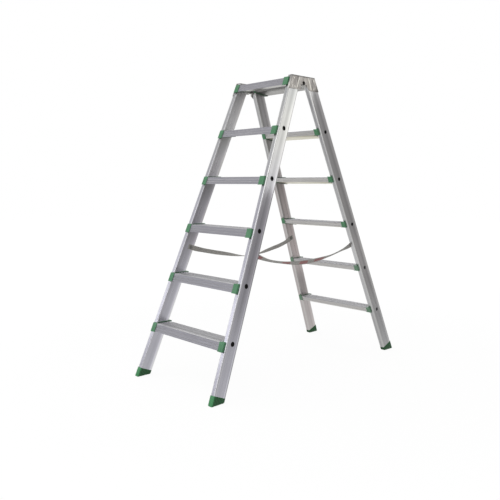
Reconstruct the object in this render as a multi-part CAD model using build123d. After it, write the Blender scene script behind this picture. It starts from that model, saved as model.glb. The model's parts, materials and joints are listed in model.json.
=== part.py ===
from build123d import *
import os
from math import cos, radians, sin, tan

# Double-sided aluminium tread stepladder, standing open, in millimetres.
# Origin on the floor midway between the four feet, +Z up, X along the treads,
# the front section at -Y and the rear section at +Y.

# Stance of a section
LEAN = 22.05                # lean of a stile from upright, seen from the side
TAPER = 3.57                # lean of a stile from upright, seen from the front
OUTER_WIDTH = 561.0         # outside to outside of the stiles, at the floor

# Stile tube
STILE_THICK = 26.0
STILE_DEPTH = 67.0
STILE_RADIUS = 6.0
STILE_WALL = 2.2

# Treads
TREAD_COUNT = 6
TREAD_PITCH = 235.0         # also the height of the lowest fixing line above the floor
TREAD_RISE = 10.0           # tread surface above its fixing line
TOP_LIFT = 3.0              # fixing line of the top tread above the even pitch
TREAD_HEIGHT = 34.0         # front face; the underside rises towards the back
TREAD_REAR_HEIGHT = 24.0    # back face
TREAD_FRONT = 7.0           # nose of the tread in front of the stile
TREAD_REAR = 7.0            # back of the tread behind the stile
TREAD_WALL = 2.0
NOSE_RADIUS = 3.0
FLUTE_COUNT = 8             # grooves along the tread surface, which leave ribs between them
FLUTE_WIDTH = 4.5
FLUTE_DEPTH = 1.2
FLUTE_MARGIN = 11.0         # first and last flute centre from the tread's edges
LINE_WIDTH = 1.6            # drawn lines along the front and back faces
LINE_DEPTH = 0.6
BOSS_RADIUS = 7.5
BOSS_BORE = 3.0             # channel along the boss, opened out at the ends for the bolts

# Moulded end cap of a tread
CAP_FLANGE = 3.0            # plate between the tread's end and the stile
CAP_LIP = 3.5               # rise of the plate above the tread surface
CAP_SOLE = 2.0              # lip under the tread
CAP_SOLE_REACH = 14.0
CAP_WALL = 2.0              # jaws over the tread's front and back faces
CAP_FRONT_REACH = 10.5      # jaws along the tread
CAP_REAR_REACH = 7.0
CAP_FRONT_LAP = 16.0        # ears across the stile
CAP_REAR_LAP = 13.0
CAP_EDGE = 1.5              # rounding of the jaws and ears

# Feet
FOOT_SIDE = 1.5             # foot outside the stile at its sides
FOOT_TOE = 2.5              # foot in front of the stile
FOOT_HEIGHT = 29.0          # end of the stile on its centre line
FOOT_EDGE = 3.0             # bevel round the sole
FOOT_SPIGOT = 35.0          # plug inside the stile
FOOT_FIT = 0.2
GROOVE_COUNT = 4
GROOVE_WIDTH = 4.0
GROOVE_DEPTH = 1.5

# Hinge plates and pivot
PIVOT_DROP = 8.0            # pivot below the top of the even pitch
PLATE = 3.0
PLATE_GAP = 0.15            # plate to stile
PLATE_RISE = 34.5           # top of the plate above the pivot
PLATE_DROP = 32.0           # foot of the plate below the pivot
PLATE_BACK = 2.9            # outer wall ends this far short of the back of the stile
PLATE_CUT = (20.0, 14.0)    # corner cut off a rear plate, along the ladder and in height
JOGGLE_RUN = 10.0           # slope from the outer wall in to the lug, along the ladder
LUG_INSET = 12.0            # front lug behind the stile's outer face, at the pivot
EAR_DROP = 7.0              # ears of the outer walls reach this far below the pivot
EAR_GAP = 0.6               # between the ears of the front and rear plates
EYE_RADIUS = 10.5           # opening round the pivot, half of it in each ear
RIB_DEPTH = 16.0            # pressed rib of the outer wall, behind the middle of the stile
RIB_WIDTH = 13.0
RIB_RISE = 1.6
RIB_MARGIN = 6.0            # ends of the rib short of the plate's top and foot
LUG_GAP = 0.3
LUG_RADIUS = 12.0
LUG_ROOT = 1.0              # straight of the lug before its slope begins
LUG_LOW = 16.0              # root of the lug below and above the pivot
LUG_HIGH = 12.0
HORN_HIGH = 22.0            # horn of the lug above the pivot, which meets the stop
STOP_EDGE = 2.0             # shoulder of the front lug from the middle plane
STOP_GAP = 0.05
STOP_WIDTH = 6.0
STOP_CLEAR = 2.0            # stop tab outside the round of the lug
PIVOT_RADIUS = 5.0
PIVOT_FIT = 0.05
PIVOT_HEAD_RADIUS = 8.5
PIVOT_HEAD = 4.5
PIVOT_EDGE = 2.0
NUT_ACROSS = 17.0
NUT_THICK = 8.0
WASHER_RADIUS = 9.5
WASHER_THICK = 1.6

# Tread bolts, hole plugs and rivets
BOLT_RADIUS = 4.0
BOLT_FIT = 0.1
BOLT_HEAD_RADIUS = 6.5
BOLT_HEAD = 5.0
BOLT_GRIP = 22.0            # engagement in the tread's boss
PLUG_RADIUS = 9.2
PLUG_FIT = 0.05
PLUG_DEPTH = 5.5
PLUG_RECESS = 0.6
PLUG_DISH_RADIUS = 7.4
PLUG_DISH = 3.6
RIVET_RADIUS = 2.4
RIVET_FIT = 0.1
RIVET_HEAD_RADIUS = 5.0
RIVET_HEAD = 1.2
RIVET_EDGE = 0.7
RIVET_TAIL_RADIUS = 3.9
RIVET_TAIL = 1.5
PLATE_RIVETS = [(-16.0, -24.0), (0.0, -22.0), (-16.0, 12.0)]  # in depth, and from the pivot

# Safety straps of flat webbing, riveted flat to the inner faces of the stiles
STRAP_TREAD = 2             # the straps are riveted on above this tread
STRAP_RISE = 136.0          # stile's centre line at the rivets, above that tread's fixing line
STRAP_INSET = 11.0          # rivets behind the stile's centre line
STRAP_WIDTH = 25.0
STRAP_THICK = 1.6
STRAP_GAP = 0.4             # webbing to the stile's face
STRAP_LEAVES = 345.0        # where the webbing leaves the stiles, from the middle plane
STRAP_WASHER_RADIUS = 9.0
STRAP_WASHER = 1.2

# Routes of the webbing: along the ladder, height, distance in from the faces
# of the stiles, and roll of the flat side from upright, in degrees.
STRAP_ROUTES = {
    "left": [
        (-388.0, 607.0, 1.2, 0.0),
        (-350.0, 594.0, 1.2, 0.0),
        (-306.0, 583.0, 2.5, 14.0),
        (-250.0, 571.5, 4.0, 16.0),
        (-194.0, 560.5, 5.0, 20.0),
        (-135.0, 549.5, 6.0, 40.0),
        (-75.0, 538.0, 7.0, 64.0),
        (-14.0, 528.0, 8.0, 80.0),
        (50.0, 525.0, 8.0, 76.0),
        (110.0, 534.0, 7.0, 52.0),
        (165.0, 545.0, 6.0, 38.0),
        (215.0, 556.5, 5.0, 31.0),
        (270.0, 569.0, 4.0, 31.0),
        (320.0, 582.0, 2.5, 26.0),
        (352.0, 594.0, 1.2, 0.0),
        (388.0, 607.0, 1.2, 0.0),
    ],
    "right": [
        (-388.0, 608.0, 1.2, 0.0),
        (-352.0, 595.0, 1.2, 0.0),
        (-318.0, 583.0, 3.0, -56.0),
        (-270.0, 567.0, 6.0, -72.0),
        (-215.0, 555.0, 8.0, -71.0),
        (-155.0, 546.0, 9.0, -67.0),
        (-98.0, 539.0, 8.5, -52.0),
        (-37.0, 535.0, 8.0, -34.0),
        (25.0, 535.0, 7.5, -32.0),
        (76.0, 538.0, 7.5, -36.0),
        (128.0, 542.5, 7.5, -45.0),
        (182.0, 549.0, 7.0, -60.0),
        (236.0, 558.5, 6.0, -64.0),
        (285.0, 571.5, 4.0, -54.0),
        (325.0, 585.0, 2.6, -30.0),
        (354.0, 595.5, 1.2, 0.0),
        (388.0, 608.0, 1.2, 0.0),
    ],
}

# Frame of the front right stile: outward through its thickness, back through
# its depth, and up along its length.
TAN_LEAN = tan(radians(LEAN))
TAN_TAPER = tan(radians(TAPER))
COS_LEAN = cos(radians(LEAN))
ALONG = Vector(-TAN_TAPER, TAN_LEAN, 1).normalized()
BACKWARD = Vector(0, COS_LEAN, -sin(radians(LEAN)))
OUTWARD = BACKWARD.cross(ALONG)
HALF_THICK = STILE_THICK / 2
HALF_DEPTH = STILE_DEPTH / 2

# The hinge sets how far the stiles stand from the pivot, and with the lean
# that sets how far apart their feet stand.
PIVOT_HEIGHT = TREAD_COUNT * TREAD_PITCH - PIVOT_DROP
PLATE_TOP = PIVOT_HEIGHT + PLATE_RISE
PLATE_BOTTOM = PIVOT_HEIGHT - PLATE_DROP
LUG_START = LUG_RADIUS + LUG_ROOT
PLATE_EDGE = LUG_START + JOGGLE_RUN
STILE_CLEAR = PLATE_EDGE + LUG_HIGH * TAN_LEAN - PLATE_BACK
HALF_SPREAD = PIVOT_HEIGHT * TAN_LEAN + STILE_CLEAR + HALF_DEPTH / COS_LEAN
STILE_FOOT = Vector(OUTER_WIDTH / 2 - HALF_THICK / OUTWARD.X, -HALF_SPREAD, 0)
STILE_TOP = PLATE_TOP - PLATE - PLATE_GAP

TREAD_TOP = TREAD_RISE
TREAD_BASE = TREAD_RISE - TREAD_HEIGHT
TREAD_REAR_BASE = TREAD_RISE - TREAD_REAR_HEIGHT
CAP_FRONT = HALF_DEPTH + TREAD_FRONT + CAP_WALL
CAP_REAR = HALF_DEPTH + TREAD_REAR + CAP_WALL
STRAP_HEIGHT = STRAP_TREAD * TREAD_PITCH + STRAP_RISE
FAR = 3 * (PLATE_TOP + OUTER_WIDTH)


def stile_frame(height):
    """Plane across the front right stile where its centre line has this height."""
    return Plane(STILE_FOOT + ALONG * (height / ALONG.Z), x_dir=OUTWARD, z_dir=ALONG)


def through_stile(height, depth=0.0):
    """Plane whose normal points outward through the stile at a height and depth."""
    frame = stile_frame(height)
    origin = frame.origin + BACKWARD * depth
    return Plane(origin, x_dir=ALONG, z_dir=OUTWARD)


def slab(low, high):
    """All space between two heights."""
    return Pos(0, 0, (low + high) / 2) * Box(FAR, FAR, high - low)


def rod(plane, radius, start, end):
    """Round bar on a plane's normal, between two distances from the plane."""
    return plane * Pos(0, 0, (start + end) / 2) * Cylinder(radius, abs(end - start))


def left_of(shape):
    """The same piece on the left stile."""
    return mirror(shape, about=Plane.YZ)


def rear_of(shape):
    """The same piece on the rear section."""
    return mirror(shape, about=Plane.XZ)


def centre_line(height):
    """Distance of a front stile's centre line from the middle plane, as Y."""
    return height * TAN_LEAN - HALF_SPREAD


def fixing(number):
    """Height of the fixing line of a tread, counted from the floor."""
    return number * TREAD_PITCH + (TOP_LIFT if number == TREAD_COUNT else 0)


def stile_bore(fit):
    """Section of the space inside a stile, less a clearance all round."""
    inside = 2 * (STILE_WALL + fit)
    return RectangleRounded(STILE_THICK - inside, STILE_DEPTH - inside, STILE_RADIUS - inside / 2)


def make_stile():
    """Front right stile: a rounded tube with its access, bolt and rivet holes."""
    section = RectangleRounded(STILE_THICK, STILE_DEPTH, STILE_RADIUS) - stile_bore(0)
    length = PLATE_TOP / ALONG.Z
    tube = extrude(stile_frame(FOOT_HEIGHT) * section, length)
    tube = tube & slab(0, STILE_TOP)
    inner_wall = -HALF_THICK + STILE_WALL / 2
    outer_wall = HALF_THICK - STILE_WALL / 2
    holes = []
    for number in range(1, TREAD_COUNT + 1):
        plane = through_stile(fixing(number))
        holes.append(rod(plane, PLUG_RADIUS + PLUG_FIT, outer_wall - STILE_WALL, HALF_THICK + 1))
        holes.append(rod(plane, BOLT_RADIUS + BOLT_FIT, -HALF_THICK - 1, inner_wall + STILE_WALL))
    strap = through_stile(STRAP_HEIGHT, STRAP_INSET)
    holes.append(rod(strap, RIVET_RADIUS + RIVET_FIT, -HALF_THICK - 1, inner_wall + STILE_WALL))
    for depth, rise in PLATE_RIVETS:
        plane = through_stile(PIVOT_HEIGHT + rise, depth)
        holes.append(rod(plane, RIVET_RADIUS + RIVET_FIT, outer_wall - STILE_WALL, HALF_THICK + 1))
    return tube - holes


def tread_face(offset, height):
    """Y of a leaning tread face at a height above the fixing line, before it is placed."""
    return height * TAN_LEAN + offset / COS_LEAN


def tread_corners():
    """Corners of a tread's section about its fixing line, from the front of its underside."""
    front = -(HALF_DEPTH + TREAD_FRONT)
    rear = HALF_DEPTH + TREAD_REAR
    return [
        (tread_face(front, TREAD_BASE), TREAD_BASE),
        (tread_face(rear, TREAD_REAR_BASE), TREAD_REAR_BASE),
        (tread_face(rear, TREAD_TOP), TREAD_TOP),
        (tread_face(front, TREAD_TOP), TREAD_TOP),
    ]


def tread_section():
    """Section of a tread about its fixing line: a closed box with a screw boss and a fluted top."""
    corners = tread_corners()
    outline = make_face(Polyline(corners, close=True))
    box = offset(outline, -TREAD_WALL - FLUTE_DEPTH / 2, kind=Kind.INTERSECTION)
    web = Rectangle(TREAD_WALL, 2 * TREAD_HEIGHT)
    section = fillet(outline.vertices().sort_by(Axis.Y)[-2:], NOSE_RADIUS)
    section = section - (box - (web + Circle(BOSS_RADIUS))) - Circle(BOSS_BORE)
    start = corners[3][0] + FLUTE_MARGIN
    step = (corners[2][0] - FLUTE_MARGIN - start) / (FLUTE_COUNT - 1)
    for index in range(FLUTE_COUNT):
        flute = Rectangle(FLUTE_WIDTH, 2 * FLUTE_DEPTH)
        section -= Pos(start + index * step, TREAD_TOP) * flute
    for share in (1 / 3, 2 / 3):
        for low, high in ((corners[0], corners[3]), (corners[1], corners[2])):
            along = low[0] + share * (high[0] - low[0])
            height = low[1] + share * (high[1] - low[1])
            section -= Pos(along, height) * Rectangle(2 * LINE_DEPTH, LINE_WIDTH)
    return section


def make_tread(number):
    """A front tread, cut to lie between the flanges of its two caps."""
    height = fixing(number)
    placed = Plane.YZ * Pos(centre_line(height), height) * tread_section()
    bar = extrude(placed, OUTER_WIDTH / 2, both=True)
    beyond = FAR / 2 - HALF_THICK - CAP_FLANGE
    end = stile_frame(height) * Pos(beyond, 0, 0) * Box(FAR, FAR, FAR)
    thread = rod(through_stile(height), BOLT_RADIUS, bolt_tip() - 1, 0)
    return bar - end - left_of(end) - thread - left_of(thread)


def bolt_tip():
    """Tip of a tread bolt, from the middle of the stile's thickness."""
    return -HALF_THICK - CAP_FLANGE - BOLT_GRIP


def cap_side(number, drop):
    """All space above a line that lies under a tread by a drop, and below the caps' tops."""
    height = fixing(number)
    (front, low), (rear, high) = tread_corners()[:2]
    rise = (high - low) / (rear - front)
    first = front - STILE_DEPTH
    last = rear + STILE_DEPTH
    top = TREAD_TOP + CAP_LIP
    corners = [
        (first, low - drop + rise * (first - front)),
        (last, low - drop + rise * (last - front)),
        (last, top),
        (first, top),
    ]
    side = make_face(Polyline(corners, close=True))
    return extrude(Plane.YZ * Pos(centre_line(height), height) * side, OUTER_WIDTH / 2, both=True)


def make_cap(number):
    """Right end cap of a front tread: plate, jaws over the tread, ears over the stile, lip below."""
    height = fixing(number)
    frame = stile_frame(height)
    face = -HALF_THICK
    plate_in = face - CAP_FLANGE
    depth = CAP_FRONT + CAP_REAR
    plan = Pos((face + plate_in) / 2, (CAP_REAR - CAP_FRONT) / 2) * Rectangle(CAP_FLANGE, depth)
    front_jaw = Pos(plate_in - CAP_FRONT_REACH / 2, -CAP_FRONT + CAP_WALL / 2)
    plan += front_jaw * Rectangle(CAP_FRONT_REACH, CAP_WALL)
    rear_jaw = Pos(plate_in - CAP_REAR_REACH / 2, CAP_REAR - CAP_WALL / 2)
    plan += rear_jaw * Rectangle(CAP_REAR_REACH, CAP_WALL)
    front_ear = CAP_FRONT - HALF_DEPTH
    front_place = Pos(face + CAP_FRONT_LAP / 2, -CAP_FRONT + front_ear / 2)
    plan += front_place * Rectangle(CAP_FRONT_LAP, front_ear)
    rear_ear = CAP_REAR - HALF_DEPTH
    rear_place = Pos(face + CAP_REAR_LAP / 2, CAP_REAR - rear_ear / 2)
    if number < TREAD_COUNT:
        plan += rear_place * Rectangle(CAP_REAR_LAP, rear_ear)
    corners = [v for v in plan.vertices() if v.Y < 0.01 - CAP_FRONT or v.Y > CAP_REAR - 0.01]
    plan = fillet(corners, CAP_EDGE)
    body = extrude(frame * plan, 2 * TREAD_HEIGHT, both=True) & cap_side(number, CAP_SOLE)
    sole = Pos(plate_in - CAP_SOLE_REACH / 2, (CAP_REAR - CAP_FRONT) / 2)
    sole = extrude(frame * sole * Rectangle(CAP_SOLE_REACH, depth - 2 * CAP_EDGE), STILE_DEPTH, both=True)
    body += (sole & cap_side(number, CAP_SOLE)) - cap_side(number, 0)
    return body - rod(through_stile(height), BOLT_RADIUS + BOLT_FIT, plate_in - 1, face + 1)


def make_foot():
    """Front right foot: a block under the end of the stile, plugged into it, with a grooved sole."""
    frame = stile_frame(FOOT_HEIGHT)
    wide = STILE_THICK + 2 * FOOT_SIDE
    deep = STILE_DEPTH + FOOT_TOE
    outline = Pos(0, -FOOT_TOE / 2) * RectangleRounded(wide, deep, STILE_RADIUS + FOOT_SIDE)
    block = extrude(frame * outline, -2 * FOOT_HEIGHT - deep) & slab(0, deep)
    block = chamfer(block.edges().group_by(Axis.Z)[0], FOOT_EDGE)
    block += extrude(frame * stile_bore(FOOT_FIT), FOOT_SPIGOT)
    pitch = STILE_DEPTH / (GROOVE_COUNT + 1)
    for index in range(GROOVE_COUNT):
        along = (index - (GROOVE_COUNT - 1) / 2) * pitch
        groove = Box(2 * wide, GROOVE_WIDTH, 2 * GROOVE_DEPTH)
        block -= Pos(STILE_FOOT.X, STILE_FOOT.Y + along, 0) * groove
    return block


def outer_face(height):
    """X of the right stiles' outer face at a height, on the middle of their depth."""
    return OUTER_WIDTH / 2 - height * TAN_TAPER


def lug_span(front):
    """Inner and outer X of the front or rear lug; the rear one lies inside the front one."""
    outer = outer_face(PIVOT_HEIGHT) - LUG_INSET
    if not front:
        outer -= PLATE + LUG_GAP
    return outer - PLATE, outer


def plate_rib(frame):
    """Low round rib down the outer wall of a right hinge plate."""
    face = HALF_THICK + PLATE_GAP + PLATE
    radius = (RIB_WIDTH ** 2 / 4 + RIB_RISE ** 2) / (2 * RIB_RISE)
    crown = Pos(face + RIB_RISE - radius, RIB_DEPTH) * Circle(radius)
    crown &= Pos(face + PLATE / 2, RIB_DEPTH) * Rectangle(2 * PLATE, 2 * RIB_WIDTH)
    rib = extrude(frame * crown, 2 * (PLATE_TOP - PLATE_BOTTOM), both=True)
    return rib & slab(PLATE_BOTTOM + RIB_MARGIN, PLATE_TOP - RIB_MARGIN)


def make_hinge_plate(front):
    """Right hinge plate, on the front side; the rear one is then mirrored to the rear section."""
    frame = stile_frame(PIVOT_HEIGHT)
    tall = 2 * (PLATE_TOP - PLATE_BOTTOM)
    inside = RectangleRounded(STILE_THICK + 2 * PLATE_GAP, STILE_DEPTH + 2 * PLATE_GAP,
                              STILE_RADIUS + PLATE_GAP)
    grow = PLATE_GAP + PLATE
    outside = RectangleRounded(STILE_THICK + 2 * grow, STILE_DEPTH + 2 * grow,
                               STILE_RADIUS + grow)
    bend = HALF_THICK - STILE_RADIUS + PLATE_GAP
    shell = outside - inside
    shell -= Pos(bend - STILE_THICK, 0) * Rectangle(2 * STILE_THICK, 2 * STILE_DEPTH)
    shell -= Pos(0, STILE_DEPTH) * Rectangle(2 * STILE_DEPTH, 2 * STILE_DEPTH)
    web = Pos(HALF_THICK + PLATE_GAP + PLATE / 2, STILE_DEPTH / 2) * Rectangle(PLATE, STILE_DEPTH)
    wrap = extrude(frame * (shell + web), tall, both=True) & slab(PLATE_BOTTOM, PLATE_TOP)
    lid_width = STILE_THICK + grow
    lid = Pos(grow / 2, 0) * RectangleRounded(lid_width, STILE_DEPTH, STILE_RADIUS)
    lid = extrude(frame * lid, tall, both=True) & slab(PLATE_TOP - PLATE, PLATE_TOP)
    plate = wrap + lid
    beyond = Pos(0, FAR / 2 - PLATE_EDGE, 0) * Box(FAR, FAR, FAR)
    wrap_only = plate - beyond
    ear_zone = Pos(0, -(PLATE_EDGE + EAR_GAP / 2) / 2, 0) * Box(FAR, PLATE_EDGE - EAR_GAP / 2, FAR)
    ear = plate & ear_zone & slab(PIVOT_HEIGHT - EAR_DROP, PLATE_TOP)
    ear -= rod(pivot_plane(), EYE_RADIUS, 0, OUTER_WIDTH)
    low = PIVOT_HEIGHT - LUG_LOW
    high = PIVOT_HEIGHT + LUG_HIGH
    inner, outer = lug_span(front)
    root = (wrap_only & slab(low, high)).faces().filter_by(Axis.Y).sort_by(Axis.Y)[-1]
    middle = (low + high) / 2
    tip = Plane(((inner + outer) / 2, -LUG_START, middle), x_dir=(1, 0, 0), z_dir=(0, 1, 0))
    joggle = loft([root, (tip * Rectangle(PLATE, high - low)).face()], ruled=True)
    side = Plane((inner, 0, PIVOT_HEIGHT), x_dir=(0, 1, 0), z_dir=(1, 0, 0))
    lug = Circle(LUG_RADIUS) + Pos(-LUG_START / 2, 0) * Rectangle(LUG_START, 2 * LUG_RADIUS)
    shoulder = STOP_EDGE if front else STOP_GAP - STOP_EDGE
    arm = LUG_START - shoulder
    lug += Pos(-LUG_START + arm / 2, HORN_HIGH / 2) * Rectangle(arm, HORN_HIGH)
    heel = LUG_START / 2
    lug += Pos(-LUG_START + heel / 2, -LUG_LOW / 2) * Rectangle(heel, LUG_LOW)
    lug -= Circle(PIVOT_RADIUS + PIVOT_FIT)
    plate = wrap_only + ear + joggle + extrude(side * lug, PLATE) + plate_rib(frame)
    if not front:
        along, upward = PLATE_CUT
        cut = Polyline((0, 0), (-along, 0), (0, upward), close=True)
        corner = Plane((0, -PLATE_EDGE, PLATE_BOTTOM), x_dir=(0, 1, 0), z_dir=(1, 0, 0))
        plate -= extrude(corner * make_face(cut), OUTER_WIDTH / 2)
        tab_low = LUG_RADIUS + STOP_CLEAR
        tab_span = 2 * PLATE + LUG_GAP
        tab = Box(tab_span, STOP_WIDTH, HORN_HIGH - tab_low)
        tab_y = -shoulder - STOP_WIDTH / 2
        tab_z = PIVOT_HEIGHT + (HORN_HIGH + tab_low) / 2
        plate += Pos(inner + tab_span / 2, tab_y, tab_z) * tab
    rivet_holes = []
    for depth, rise in PLATE_RIVETS:
        plane = through_stile(PIVOT_HEIGHT + rise, depth)
        rivet_holes.append(rod(plane, RIVET_RADIUS + RIVET_FIT, HALF_THICK, HALF_THICK + 2 * grow))
    return plate - rivet_holes


def make_rivet(plane, start, end):
    """Domed rivet through a grip from start to end on a plane's normal, headed at the end."""
    way = 1 if end > start else -1
    shank = rod(plane, RIVET_RADIUS, start, end)
    tail = rod(plane, RIVET_TAIL_RADIUS, start - way * RIVET_TAIL, start)
    head = rod(plane, RIVET_HEAD_RADIUS, end, end + way * RIVET_HEAD)
    rim = max(head.edges(), key=lambda e: way * plane.to_local_coords(e.center()).Z)
    return shank + tail + chamfer(rim, RIVET_EDGE)


def make_plate_rivets():
    """Rivets of the front right hinge plate."""
    grip = HALF_THICK - STILE_WALL
    face = HALF_THICK + PLATE_GAP + PLATE
    places = [through_stile(PIVOT_HEIGHT + rise, depth) for depth, rise in PLATE_RIVETS]
    return [make_rivet(place, grip, face) for place in places]


def make_bolt(number):
    """Bolt that holds the right end of a front tread to its stile."""
    plane = through_stile(fixing(number))
    seat = STILE_WALL - HALF_THICK
    head = rod(plane, BOLT_HEAD_RADIUS, seat, seat + BOLT_HEAD)
    return head + rod(plane, BOLT_RADIUS, bolt_tip(), seat)


def make_plug(number):
    """Dished plug in the access hole of the front right stile."""
    plane = through_stile(fixing(number))
    face = HALF_THICK - PLUG_RECESS
    dish = rod(plane, PLUG_DISH_RADIUS, face - PLUG_DISH, face + 1)
    return rod(plane, PLUG_RADIUS, face - PLUG_DEPTH, face) - dish


def pivot_plane():
    """Plane on the pivot line, facing outward along the right pivot."""
    return Plane((0, 0, PIVOT_HEIGHT), x_dir=(0, 1, 0), z_dir=(1, 0, 0))


def make_pivot():
    """Right pivot: bolt with a domed head outside, washer and nut inside."""
    plane = pivot_plane()
    outer = lug_span(True)[1]
    inner = lug_span(False)[0] - LUG_GAP
    nut_in = inner - WASHER_THICK - NUT_THICK
    head = rod(plane, PIVOT_HEAD_RADIUS, outer, outer + PIVOT_HEAD)
    head = chamfer(head.edges().sort_by(Axis.X)[-1], PIVOT_EDGE)
    bolt = head + rod(plane, PIVOT_RADIUS, nut_in - PLATE, outer)
    bore = rod(plane, PIVOT_RADIUS, nut_in - 1, inner + 1)
    washer = rod(plane, WASHER_RADIUS, inner - WASHER_THICK, inner) - bore
    nut_face = plane * Pos(0, 0, nut_in) * RegularPolygon(NUT_ACROSS / 2, 6, major_radius=False)
    nut = extrude(nut_face, NUT_THICK) - bore
    return bolt, washer, nut


def strap_point(entry):
    """Point of a strap's route; past its rivets it follows the flat of the stile."""
    y, z, inset, roll = entry
    back = HALF_SPREAD - max(abs(y), STRAP_LEAVES)
    face = HALF_THICK + back * OUTWARD.Y + z * OUTWARD.Z
    return Vector(STILE_FOOT.X - face / OUTWARD.X - inset, y, z)


def strap_frame(points, index):
    """Section plane of a strap at one point of its route: width on X, thickness on Y."""
    before = strap_point(points[max(index - 1, 0)])
    after = strap_point(points[min(index + 1, len(points) - 1)])
    along = (after - before).normalized()
    y, z, inset, roll = points[index]
    flat = Vector(OUTWARD.X, OUTWARD.Y if y < 0 else -OUTWARD.Y, OUTWARD.Z)
    flat = (flat - along * flat.dot(along)).normalized()
    upright = along.cross(flat)
    width = upright * cos(radians(roll)) + flat * sin(radians(roll))
    return Plane(strap_point(points[index]), x_dir=width, z_dir=along)


def make_strap(side):
    """Flat webbing from the front stile to the rear stile, turning flat where it hangs."""
    points = STRAP_ROUTES[side]
    band = Rectangle(STRAP_WIDTH, STRAP_THICK)
    sections = [(strap_frame(points, index) * band).face() for index in range(len(points))]
    strap = loft(sections, ruled=True)
    hole = rod(through_stile(STRAP_HEIGHT, STRAP_INSET), RIVET_RADIUS + RIVET_FIT,
               -2 * HALF_THICK, -HALF_THICK)
    strap = strap - hole - rear_of(hole)
    return strap if side == "right" else left_of(strap)


def make_strap_fixing():
    """Rivet and washer that hold the right strap to the front stile."""
    plane = through_stile(STRAP_HEIGHT, STRAP_INSET)
    webbing = HALF_THICK + 2 * STRAP_GAP + STRAP_THICK
    washer = rod(plane, STRAP_WASHER_RADIUS, -webbing - STRAP_WASHER, -webbing)
    washer -= rod(plane, RIVET_RADIUS + RIVET_FIT, -webbing - 2 * STRAP_WASHER, -HALF_THICK)
    rivet = make_rivet(plane, STILE_WALL - HALF_THICK, -webbing - STRAP_WASHER)
    return rivet, washer


def both_sides(shapes):
    """Pieces of the right stile and their copies on the left stile."""
    return [*shapes, *[left_of(shape) for shape in shapes]]


def save(name, *shapes):
    """Write one piece, or a group of separate solids, under its own name."""
    solids = [solid for shape in shapes for solid in shape.solids()]
    piece = solids[0] if len(solids) == 1 else Compound(children=solids)
    export_step(piece, f"parts/{name}.step")


def save_sections(name, *shapes):
    """Write a piece of the front section and its copy on the rear section."""
    save(f"front_{name}", *shapes)
    save(f"rear_{name}", *[rear_of(shape) for shape in shapes])


def save_stiles(name, shape):
    """Write a piece of the front right stile and its copies on the other three stiles."""
    save_sections(f"right_{name}", shape)
    save_sections(f"left_{name}", left_of(shape))


def main():
    os.makedirs("parts", exist_ok=True)
    numbers = range(1, TREAD_COUNT + 1)
    save_stiles("stile", make_stile())
    save_stiles("foot", make_foot())
    for number in numbers:
        save_sections(f"tread_{number}", make_tread(number))
        save_sections(f"tread_{number}_caps", *both_sides([make_cap(number)]))
    save_sections("tread_bolts", *both_sides([make_bolt(number) for number in numbers]))
    save_sections("hole_plugs", *both_sides([make_plug(number) for number in numbers[:-1]]))
    front_plate = make_hinge_plate(True)
    rear_plate = rear_of(make_hinge_plate(False))
    save("front_right_hinge_plate", front_plate)
    save("front_left_hinge_plate", left_of(front_plate))
    save("rear_right_hinge_plate", rear_plate)
    save("rear_left_hinge_plate", left_of(rear_plate))
    save_sections("hinge_rivets", *both_sides(make_plate_rivets()))
    for name, piece in zip(("bolts", "washers", "nuts"), make_pivot()):
        save(f"pivot_{name}", *both_sides([piece]))
    for side in STRAP_ROUTES:
        save(f"{side}_strap", make_strap(side))
    rivet, washer = make_strap_fixing()
    save_sections("strap_rivets", *both_sides([rivet]))
    save_sections("strap_washers", *both_sides([washer]))


main()
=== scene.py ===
# %% [markdown]
# # Dressing a folding stepladder
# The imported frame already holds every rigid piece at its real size: four leaning tubes, twelve treads,
# their moulded end caps, the feet, the hinge and its fasteners. This lesson gives those pieces their
# finish, rolls over the sharp edges that a drawing leaves, and hangs the two webbing straps between the
# sections.

# %% Load the frame
import json
from math import cos, radians, sin

import bpy
import numpy as np
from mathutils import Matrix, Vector

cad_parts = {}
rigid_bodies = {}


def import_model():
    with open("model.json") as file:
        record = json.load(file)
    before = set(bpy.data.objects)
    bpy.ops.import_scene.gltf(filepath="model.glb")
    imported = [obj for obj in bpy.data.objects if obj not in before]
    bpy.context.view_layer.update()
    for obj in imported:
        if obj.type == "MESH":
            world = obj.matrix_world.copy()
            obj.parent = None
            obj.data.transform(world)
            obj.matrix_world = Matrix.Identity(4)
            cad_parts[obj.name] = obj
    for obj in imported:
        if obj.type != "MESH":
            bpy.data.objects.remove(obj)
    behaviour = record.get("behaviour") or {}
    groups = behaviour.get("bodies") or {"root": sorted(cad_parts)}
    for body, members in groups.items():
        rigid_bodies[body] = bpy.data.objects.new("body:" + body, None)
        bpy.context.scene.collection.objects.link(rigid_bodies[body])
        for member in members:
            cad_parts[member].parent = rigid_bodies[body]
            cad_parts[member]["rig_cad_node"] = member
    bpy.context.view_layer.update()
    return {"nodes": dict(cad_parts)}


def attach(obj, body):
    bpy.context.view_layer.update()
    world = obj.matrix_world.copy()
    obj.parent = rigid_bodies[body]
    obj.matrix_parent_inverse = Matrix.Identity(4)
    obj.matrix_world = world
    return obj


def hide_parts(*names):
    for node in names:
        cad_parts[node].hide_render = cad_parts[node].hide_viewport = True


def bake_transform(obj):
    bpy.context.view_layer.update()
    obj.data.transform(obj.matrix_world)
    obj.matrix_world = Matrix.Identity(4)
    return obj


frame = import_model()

nodes = frame["nodes"]

# %% [markdown]
# ## The camera
# A likeness starts with the viewpoint. The camera stands at chest height in front and to the right of the
# ladder, about three metres away, so the near stile looks clearly larger than the far ones. The picture
# frame is shifted a little, because the ladder sits above the middle of it.

# %% Camera
CAMERA_PLACE = (2.137, -2.265, 0.9226)
CAMERA_TURN = 47.315
CAMERA_TILT = -2.857
CAMERA_LENS = 43.71
FRAME_SHIFT = (0.0363, -0.0741)

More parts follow.
